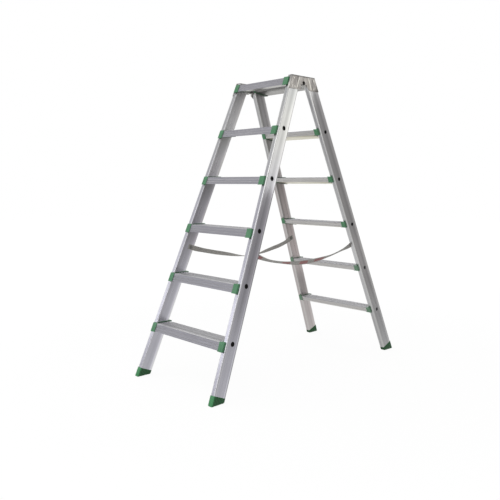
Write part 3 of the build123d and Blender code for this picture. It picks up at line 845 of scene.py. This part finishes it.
def rubbed_and_highlit_corners(metal, tube):
    """Burnish and a painted highlight along the corners, strongest high up on the outer ones in front and
    the inner ones behind.
    """
    strong = graded(tube["Z"], *RUB_LIGHT_RISE, RUB_LIGHT_PLAIN, RUB_LIGHT_STRONG)
    outer = graded(tube["Outward"], *RUB_LIGHT_SIDE)
    front = between(outer, RUB_LIGHT_WEAK, strong)
    rear = between(outer, strong, RUB_LIGHT_PLAIN)
    strength = between(half_share(tube, "Y", REAR), front, rear)
    wide = arithmetic("SUBTRACT", HALF_DEPTH, arithmetic("ABSOLUTE", tube["Back"]))
    thin = arithmetic("SUBTRACT", HALF_THICK, arithmetic("ABSOLUTE", tube["Outward"]))
    near = fading(arithmetic("ADD", wide, thin), *RUB_LIGHT_REACH)
    return two_tone(product(strength, near), metal, STILE_BURNISH_AND_HIGHLIGHT)


# %% Stile aluminium
STILE_DARK = (0.54, 0.54, 0.55, 1)
STILE_LIGHT = (0.68, 0.68, 0.69, 1)
STILE_ROUGHNESS = (0.25, 0.33)
SMUDGE_ROUGHNESS = 0.06
REAR_TURN = (-0.02, 0.02)
STILE_LAYERS = [painted_tube_light, painted_middle_shade, shaded_faces, rubbed_and_highlit_corners, left_painted_light_and_shade, rear_corner, painted_hole_shade]


def paint(finish, *endings):
    """Give a finish to what stands for every node whose name ends in one of these words."""
    painted = [name for name in shown if name.endswith(endings)]
    for name in painted:
        for slot in shown[name].material_slots:
            slot.material = finish
    print(finish.name, "on", len(painted), "nodes")


def make_stile_finish():
    """Satin aluminium with streaks along the tube, and the marks over it in their order: burnish, and
    painted light and shade.
    """
    finish, tree, shader = new_finish("stile_aluminium", roughness=0.3, metallic=1.0)
    tube = stile_place(tree)
    # Distance from the middle of the tube towards the rear of the ladder.
    tube["Rearward"] = product(tube["Back"], graded(tube["Y"], *REAR_TURN, 1.0, -1.0))
    grain = feed("CombineXYZ", {0: tube["Along"], 1: tube["Outward"], 2: tube["Back"]})[0]
    streaks = use_group(tree, drawn_metal, {"Grain": grain})
    marks = use_group(tree, handling, {"Place": grain})
    tone = weighed(streaks["Bands"], 0.7, streaks["Lines"], 0.3)
    metal = two_tone(tone, STILE_DARK, STILE_LIGHT)
    for layer in STILE_LAYERS:
        metal = layer(metal, tube)
    link(metal, shader["Base Color"])
    rough = between(streaks["Bands"], *STILE_ROUGHNESS)
    rough = arithmetic("MULTIPLY_ADD", marks["Smudges"], SMUDGE_ROUGHNESS, rough)
    link(rough, shader["Roughness"])
    add_relief(shader, streaks["Lines"])
    return finish


paint(make_stile_finish(), "_stile")

# %% [markdown]
# ## Aluminium of the treads
# The treads are extruded too, along X, with a fluted top. Each kind of face has its own tone of painted
# light and shade: the underside and inner face lighter, the nose and top darker. The top has lighter
# crests, bands of painted light and shade, a painted highlight behind the nose and painted light at the
# left end. The Z of a face's normal tells these apart, so it picks the tone from a row of stops. The treads
# are one pitch apart, so the height over the nearest fixing line is a remainder of Z.

# %% Measures of a tread
TREAD_FRONT = 0.007
TOP_STEP = (5.4, 5.6)
TOP_LIFT = 0.003
UPPER_FACE = (0.85, 0.9)


def tread_place(tree):
    """As on a stile, with the slope of the face, the distance from the nose, and the level on the tread."""
    tread = stile_place(tree)
    tread["Slope"] = graded(split(coordinates(tree, "Normal"))["Z"], -1.0, 1.0)
    tread["Upper"] = graded(tread["Slope"], *UPPER_FACE)
    tread["Nose"] = arithmetic("ADD", tread["Back"], HALF_DEPTH + TREAD_FRONT)
    step = arithmetic("ROUND", arithmetic("DIVIDE", tread["Z"], TREAD_PITCH))
    tread["Top"] = graded(step, *TOP_STEP)
    above = arithmetic("SUBTRACT", tread["Z"], product(step, TREAD_PITCH))
    tread["Level"] = arithmetic("SUBTRACT", above, product(tread["Top"], TOP_LIFT))
    return tread


# %% Crests, and painted light and shade on the fluted top
TREAD_CREST = (0.70, 0.70, 0.72, 1)
CREST_FACE = (0.9, 0.95)
TREAD_RISE = 0.010
FLUTE_DEPTH = 0.0012
CREST_LEVEL = (TREAD_RISE - FLUTE_DEPTH / 2, TREAD_RISE - FLUTE_DEPTH / 4)
TREAD_DEPTH = 0.081
# Bands of painted light and shade: stops from the nose to the rear edge.
TOP_LIGHT_BANDS = [
    (0.00, 1.06), (0.10, 1.06), (0.26, 0.90), (0.32, 0.84), (0.38, 0.84), (0.44, 1.0), (0.52, 1.0),
    (0.60, 0.88), (0.80, 1.0), (1.0, 1.0),
]
# A painted highlight behind the nose, and painted light on the left end of the tops.
TREAD_EDGE_HIGHLIGHT = (0.80, 0.80, 0.82, 1)
EDGE_START = (0.0055, 0.0075)
EDGE_END = (0.018, 0.019)
LEFT_END_LIGHT = grey(1.6)
END_TAPER = 0.0624
END_BAND = (0.2, 0.245)


def top_crests_and_light(metal, tread):
    """Lighter crests, painted bands of light and shade, a painted highlight behind the nose and painted
    light on the left end.
    """
    crest = product(graded(tread["Level"], *CREST_LEVEL), graded(tread["Slope"], *CREST_FACE))
    metal = two_tone(crest, metal, TREAD_CREST)
    bands = ramp(graded(tread["Nose"], 0.0, TREAD_DEPTH), TOP_LIGHT_BANDS)
    metal = tinted(tread["Upper"], metal, bands)
    line = product(graded(tread["Nose"], *EDGE_START), fading(tread["Nose"], *EDGE_END))
    metal = two_tone(product(line, tread["Upper"]), metal, TREAD_EDGE_HIGHLIGHT)
    leftward = arithmetic("SUBTRACT", product(tread["Z"], END_TAPER), tread["X"])
    left_end = product(graded(leftward, *END_BAND), tread["Upper"])
    return tinted(left_end, metal, LEFT_END_LIGHT)


# %% Tread aluminium
# Each tone, painted light and shade for one kind of face, lies between two slopes, from down to up:
# underside, inner face, nose and top.
TREAD_LIT_TONES = [
    (0.00, 0.14, (0.74, 0.71, 0.57, 1)),
    (0.22, 0.42, (0.77, 0.755, 0.735, 1)),
    (0.58, 0.80, (0.47, 0.465, 0.50, 1)),
    (0.90, 1.00, (0.46, 0.46, 0.47, 1)),
]
TREAD_ROUGHNESS = [(0.0, 0.34), (0.14, 0.34), (0.25, 0.42), (0.42, 0.42), (0.58, 0.55), (1.0, 0.5)]
# Painted shade on the underside and inner face of the top treads, and on the low noses in front.
TREAD_SHADE_FRONT = (0.50, 0.495, 0.485, 1)
TREAD_SHADE_REAR = (0.31, 0.306, 0.298, 1)
TREAD_SHADE_FADE = (0.44, 0.52, 0.94, 0.0)
NOSE_SHADE = (0.91, 0.91, 0.915, 1)
NOSE_RISE = (0.75, 0.95)
NOSE_FACE = (0.82, 0.88)
STREAK_SHADE = grey(0.88)


def painted_tread_shade(metal, tread):
    """Painted shade on the underside and inner face of the top treads, and a little on the noses low in
    front.
    """
    shade_share = product(tread["Top"], graded(tread["Slope"], *TREAD_SHADE_FADE))
    shade_tone = two_tone(graded(tread["Y"], *REAR_TURN), TREAD_SHADE_FRONT, TREAD_SHADE_REAR)
    metal = two_tone(shade_share, metal, shade_tone)
    nose = product(fading(tread["Slope"], *NOSE_FACE), half_share(tread, "Y", FRONT))
    return tinted(product(nose, fading(tread["Z"], *NOSE_RISE)), metal, NOSE_SHADE)


def make_tread_finish():
    """Extruded aluminium in painted tones of light and shade for its faces, with lighter crests and painted
    light on top.
    """
    finish, tree, shader = new_finish("tread_aluminium", roughness=0.45, metallic=1.0)
    tread = tread_place(tree)
    spot = coordinates(tree)
    streaks = use_group(tree, drawn_metal, {"Grain": spot, "Bands per metre": 110.0})
    marks = use_group(tree, handling, {"Place": spot, "Smudge size": 0.06})
    stops = [(slope, tone) for low, high, tone in TREAD_LIT_TONES for slope in (low, high)]
    metal = top_crests_and_light(ramp(tread["Slope"], stops), tread)
    metal = painted_tread_shade(metal, tread)
    metal = tinted(fading(streaks["Bands"], 0.0, 1.0), metal, STREAK_SHADE)
    link(metal, shader["Base Color"])
    rough = ramp(tread["Slope"], TREAD_ROUGHNESS)
    rough = arithmetic("MULTIPLY_ADD", marks["Smudges"], SMUDGE_ROUGHNESS, rough)
    link(rough, shader["Roughness"])
    add_relief(shader, streaks["Lines"])
    return finish


paint(make_tread_finish(), *TREADS)

# %% [markdown]
# ## Moulded green plastic
# Caps and feet are moulded in the same green. Their skin is slightly grained, and a little paler where
# hands and boots have worn it. Shade is painted on some faces: the lips of a cap that look down or in
# towards the tread, the sides of a foot with darker lines for the grooves between its ribs, and the heel of
# a rear foot. Low on the rear section the caps are greyer and the plugs paler. The black plugs have the
# same skin, so it is a group as well.

# %% Moulded skin
GRAIN_SCALE = 1400.0
SKIN_WEAR = 0.35


def build_moulded_skin():
    """Share of worn, paler skin, its smudges, and the height of its fine grain."""
    labels = ("Worn", "Smudges", "Grain")
    group, entry, leave = new_group("moulded_skin", [("Place", "Vector", None)], labels)
    spot = entry["Place"]
    marks = use_group(group, handling, {"Place": spot, "Smudge size": 0.03, "Scuff size": 0.004})
    worn = weighed(marks["Smudges"], SKIN_WEAR, marks["Scuffs"], SKIN_WEAR)
    grain = feed("TexNoise", {"Vector": spot, "Scale": GRAIN_SCALE, "Detail": 2.0})[0]
    for label, value in zip(labels, (worn, marks["Smudges"], grain)):
        link(value, leave[label])
    return group


moulded_skin = build_moulded_skin()

# %% Painted shade, and paler parts low on the rear
# Each fade: where it starts and ends on the normal's axis, and its share at both.
LIP_INWARD = (-0.9, -0.7, 0.75, 0.0)
LIP_DOWN = (-0.75, -0.5, 0.9, 0.0)
HEEL_FADE = (-0.6, -0.3, 0.8, 0.0)
RIB_SIDE = (0.8, 0.95)
RIB_PITCH = 0.0085
GROOVE_FADE = (0.0, 0.6, 0.5, 0.95)
LOW_REAR_TOP = (0.55, 0.65)


def lip_shade(tree):
    """1 on faces that look down or in towards the tread, where shade is painted."""
    normal = split(coordinates(tree, "Normal"))
    side = arithmetic("SIGN", split(coordinates(tree))["X"])
    inward = graded(product(side, normal["X"]), *LIP_INWARD)
    return arithmetic("MAXIMUM", inward, graded(normal["Z"], *LIP_DOWN))


def rib_shade(tree):
    """Painted shade on the sides of a foot, darkest in painted lines for the grooves between its ribs, and
    on the heel of a rear one.
    """
    normal = split(coordinates(tree, "Normal"))
    foot = stile_place(tree)
    turns = product(foot["Back"], 2 * np.pi / RIB_PITCH)
    grooves = graded(arithmetic("SINE", turns), *GROOVE_FADE)
    sideways = arithmetic("ABSOLUTE", normal["X"])
    sides = product(grooves, graded(sideways, *RIB_SIDE))
    heel = product(half_share(foot, "Y", REAR), graded(normal["Y"], *HEEL_FADE))
    return arithmetic("MAXIMUM", sides, heel)


def low_rear_share(tree):
    """1 low on the rear section, where caps turn greyer and plugs paler."""
    parts = split(coordinates(tree))
    return product(fading(parts["Z"], *LOW_REAR_TOP), half_share(parts, "Y", REAR))


# %% Cap and foot plastic
CAP_GREEN = (0.068, 0.225, 0.105, 1)
CAP_PALE = (0.125, 0.32, 0.175, 1)
CAP_LOW_GREY = (0.30, 0.31, 0.30, 1)
FOOT_GREEN = (0.06, 0.255, 0.10, 1)
FOOT_PALE = (0.115, 0.345, 0.165, 1)
# Colour of the painted shade on caps and feet.
SHADED_GREEN = (0.012, 0.036, 0.014, 1)
# Each layer: where it lies, how strong it is, and its colour.
CAP_LAYERS = [(lip_shade, 1.0, SHADED_GREEN), (low_rear_share, 0.3, CAP_LOW_GREY)]
FOOT_LAYERS = [(rib_shade, 1.0, SHADED_GREEN)]
SMUDGED_SKIN = 0.12
GRAIN_STRENGTH = 0.12


def make_plastic(name, deep, pale, roughness, gloss, layers):
    """Moulded plastic in two tones, with layers over it, of painted shade and of paler grey low on the
    rear.
    """
    finish, tree, shader = new_finish(name, roughness)
    shader["Specular IOR Level"].default_value = gloss
    skin = use_group(tree, moulded_skin, {"Place": coordinates(tree)})
    colour = two_tone(skin["Worn"], deep, pale)
    for share, strength, tone in layers:
        colour = two_tone(product(share(tree), strength), colour, tone)
    link(colour, shader["Base Color"])
    rough = between(skin["Smudges"], roughness, roughness + SMUDGED_SKIN)
    link(rough, shader["Roughness"])
    add_relief(shader, skin["Grain"], GRAIN_STRENGTH)
    return finish


paint(make_plastic("cap_plastic_green", CAP_GREEN, CAP_PALE, 0.4, 0.5, CAP_LAYERS), "_caps")
paint(make_plastic("foot_plastic_green", FOOT_GREEN, FOOT_PALE, 0.3, 0.25, FOOT_LAYERS), "_foot")

# %% [markdown]
# ## Steel of the hinge and the fasteners
# The hinge plates are plated pressings with a faint brownish cast. A highlight is painted on the front
# corner and the raised rib, shade along the upper edge, and light on the lugs inside, which are less
# metallic. Rivets, washers and nuts are a darker, less shiny grey, and the pivot bolts are blacked.

# %% Hinge steel
PLATE_DARK = (0.28, 0.265, 0.25, 1)
PLATE_LIGHT = (0.50, 0.48, 0.46, 1)
# A painted highlight on the front corner and the rib.
PLATE_HIGHLIGHT = (0.86, 0.84, 0.77, 1)
# Painted light on the lugs inside, which are also less metallic.
PLATE_LUG_LIGHT = (0.74, 0.73, 0.70, 1)
# Painted shade along the upper edge.
TOP_EDGE_SHADE = (0.05, 0.048, 0.045, 1)
PLATE_SHEET = 0.00315
PLATE_TOP = 1.4365
RIB_RISE = 0.0016
LUG_TOP = 1.399
# Each fade: where it starts and ends, in metres, and its share at both.
CORNER_FADE = (0.003, 0.010, 0.9, 0.0)
RIB_FADE = (-RIB_RISE, -RIB_RISE / 4, 0.55, 0.0)
TOP_EDGE_FADE = (PLATE_TOP - 0.006, PLATE_TOP - 0.003, 0.0, 0.6)
TOP_EDGE_SIDE = (0.0, 0.1)
LUG_INSIDE = (0.004, 0.007)
LUG_FADE = (LUG_TOP - 0.004, LUG_TOP, 1.0, 0.0)
LUG_METALLIC = 0.2
SCUFFED_STEEL = 0.15


def make_steel(name, roughness, bands):
    """Metal with streaks and smudges; returns its tone for the colours to follow."""
    finish, tree, shader = new_finish(name, roughness, metallic=1.0)
    spot = coordinates(tree)
    upright = feed("Mapping", {"Vector": spot, "Rotation": (0, radians(90), 0)})[0]
    streaks = use_group(tree, drawn_metal, {"Grain": upright, "Bands per metre": bands})
    marks = use_group(tree, handling, {"Place": spot, "Smudge size": 0.02, "Scuff size": 0.005})
    tone = weighed(streaks["Bands"], 0.6, marks["Smudges"], 0.4)
    rough = between(marks["Scuffs"], roughness, roughness + SCUFFED_STEEL)
    link(rough, shader["Roughness"])
    add_relief(shader, streaks["Lines"])
    return finish, tree, shader, tone


def make_plate_finish():
    """Plated steel with a painted highlight, painted shade along its top edge and lugs painted lighter."""
    finish, tree, shader, tone = make_steel("hinge_steel_plated", roughness=0.32, bands=60.0)
    metal = two_tone(tone, PLATE_DARK, PLATE_LIGHT)
    plate = stile_place(tree)
    from_front = arithmetic("ADD", plate["Back"], HALF_DEPTH + PLATE_SHEET)
    from_side = arithmetic("SUBTRACT", HALF_THICK + PLATE_SHEET, plate["Outward"])
    corner = graded(arithmetic("ADD", from_front, from_side), *CORNER_FADE)
    highlight_share = arithmetic("MAXIMUM", corner, graded(from_side, *RIB_FADE))
    metal = two_tone(highlight_share, metal, PLATE_HIGHLIGHT)
    dark_top = product(graded(plate["Z"], *TOP_EDGE_FADE), graded(plate["X"], *TOP_EDGE_SIDE))
    metal = two_tone(dark_top, metal, TOP_EDGE_SHADE)
    lug = product(graded(from_side, *LUG_INSIDE), graded(plate["Z"], *LUG_FADE))
    link(two_tone(lug, metal, PLATE_LUG_LIGHT), shader["Base Color"])
    link(between(lug, 1.0, LUG_METALLIC), shader["Metallic"])
    return finish


paint(make_plate_finish(), "_hinge_plate", "_hinge_rivets")

# %% Fasteners
ZINC_DARK = (0.20, 0.20, 0.195, 1)
ZINC_LIGHT = (0.34, 0.34, 0.33, 1)
BLACKED_DARK = grey(0.012)
BLACKED_LIGHT = grey(0.04)
FASTENER_BANDS = 300.0


def make_fastener(name, dark, light, roughness):
    """Plain steel between two tones."""
    finish, tree, shader, tone = make_steel(name, roughness, FASTENER_BANDS)
    link(two_tone(tone, dark, light), shader["Base Color"])
    return finish


zinc_finish = make_fastener("fastener_steel_dull", ZINC_DARK, ZINC_LIGHT, roughness=0.4)
paint(zinc_finish, "_strap_rivets", "_strap_washers", "_tread_bolts", "_washers", "_nuts")
paint(make_fastener("pivot_steel_blacked", BLACKED_DARK, BLACKED_LIGHT, roughness=0.5), "pivot_bolts")

# %% Hole plugs
PLUG_DARK = grey(0.006)
PLUG_PALE = grey(0.022)
PLUG_LAYERS = [(low_rear_share, 1.0, (0.10, 0.102, 0.104, 1))]
paint(make_plastic("plug_plastic_black", PLUG_DARK, PLUG_PALE, 0.6, 0.2, PLUG_LAYERS), "_plugs")

# %% [markdown]
# ## Webbing
# Polyester webbing is woven with a herringbone: short floats lean one way across half the width and the
# other way across the other half. The strap's own UV map carries the weave, so it follows every twist. Both
# straps share the weave, and the right one has plain red dashes along it.

# %% Herringbone weave
FUZZ_SCALE = 0.35


def build_weave():
    """Height of the floats and the tone of the yarn, from a UV place and the counts of threads."""
    counts = [("Threads along", "Float", 500.0), ("Threads across", "Float", 15.0)]
    group, entry, leave = new_group("herringbone", [("Flat", "Vector", None), *counts], ("Floats", "Tone"))
    sizes = feed("CombineXYZ", {0: entry["Threads along"], 1: entry["Threads across"]})[0]
    threads = vectors("MULTIPLY", entry["Flat"], sizes)
    parts = split(threads)
    lean = apart(parts["Y"], product(entry["Threads across"], 0.5))
    turns = product(arithmetic("ADD", parts["X"], lean), 2 * np.pi)
    floats = graded(arithmetic("SINE", turns), -1.0, 1.0)
    fuzz = feed("TexNoise", {"Vector": threads, "Scale": FUZZ_SCALE, "Detail": 4.0})[0]
    link(floats, leave["Floats"])
    link(weighed(floats, 0.4, fuzz, 0.6), leave["Tone"])
    return group


weave = build_weave()

# %% Webbing finish
YARN_DARK = (0.24, 0.23, 0.215, 1)
YARN_LIGHT = (0.52, 0.505, 0.475, 1)
YARN_RED = (0.36, 0.12, 0.125, 1)
YARN_SHEEN = 0.2
WEAVE_PITCH = 0.0016
WEAVE_STRENGTH, WEAVE_DEPTH = 0.6, 0.0004
# Red dashes woven into a strap: start and end along it, as shares of its length.
RED_DASHES = {"left": [], "right": [(0.06, 0.11), (0.27, 0.332), (0.40, 0.462), (0.518, 0.612)]}
DASH_BLUR = 0.002
DASH_SIDE = (0.34, 0.37)
RED_FADE = (0.0, 0.8, 0.6, 1.0)


def red_share(flat, dashes):
    """1 inside the red dashes of a strap."""
    parts = split(flat)
    total = 0.0
    for start, end in dashes:
        middle, reach = (start + end) / 2, (end - start) / 2
        inside = fading(apart(parts["X"], middle), reach - DASH_BLUR, reach)
        total = arithmetic("ADD", total, inside)
    return product(total, fading(apart(parts["Y"], 0.5), *DASH_SIDE))


def make_webbing(name, length, dashes):
    """Woven polyester for a strap of this length, with its red dashes."""
    finish, tree, shader = new_finish(name, roughness=0.8)
    flat = place(tree, "UVMap")[0]
    counts = {"Threads along": length / WEAVE_PITCH, "Threads across": STRAP_WIDTH / WEAVE_PITCH}
    woven = use_group(tree, weave, {"Flat": flat, **counts})
    yarn = two_tone(woven["Tone"], YARN_DARK, YARN_LIGHT)
    if dashes:
        red = product(red_share(flat, dashes), graded(woven["Tone"], *RED_FADE))
        yarn = two_tone(red, yarn, YARN_RED)
    link(yarn, shader["Base Color"])
    add_relief(shader, woven["Floats"], WEAVE_STRENGTH, WEAVE_DEPTH)
    shader["Sheen Weight"].default_value = YARN_SHEEN
    return finish


for side, (strap, length) in straps.items():
    finish = make_webbing(f"{side}_webbing_weave", length, RED_DASHES[side])
    strap.data.materials.append(finish)
    print(finish.name, "with", len(RED_DASHES[side]), "red dashes")
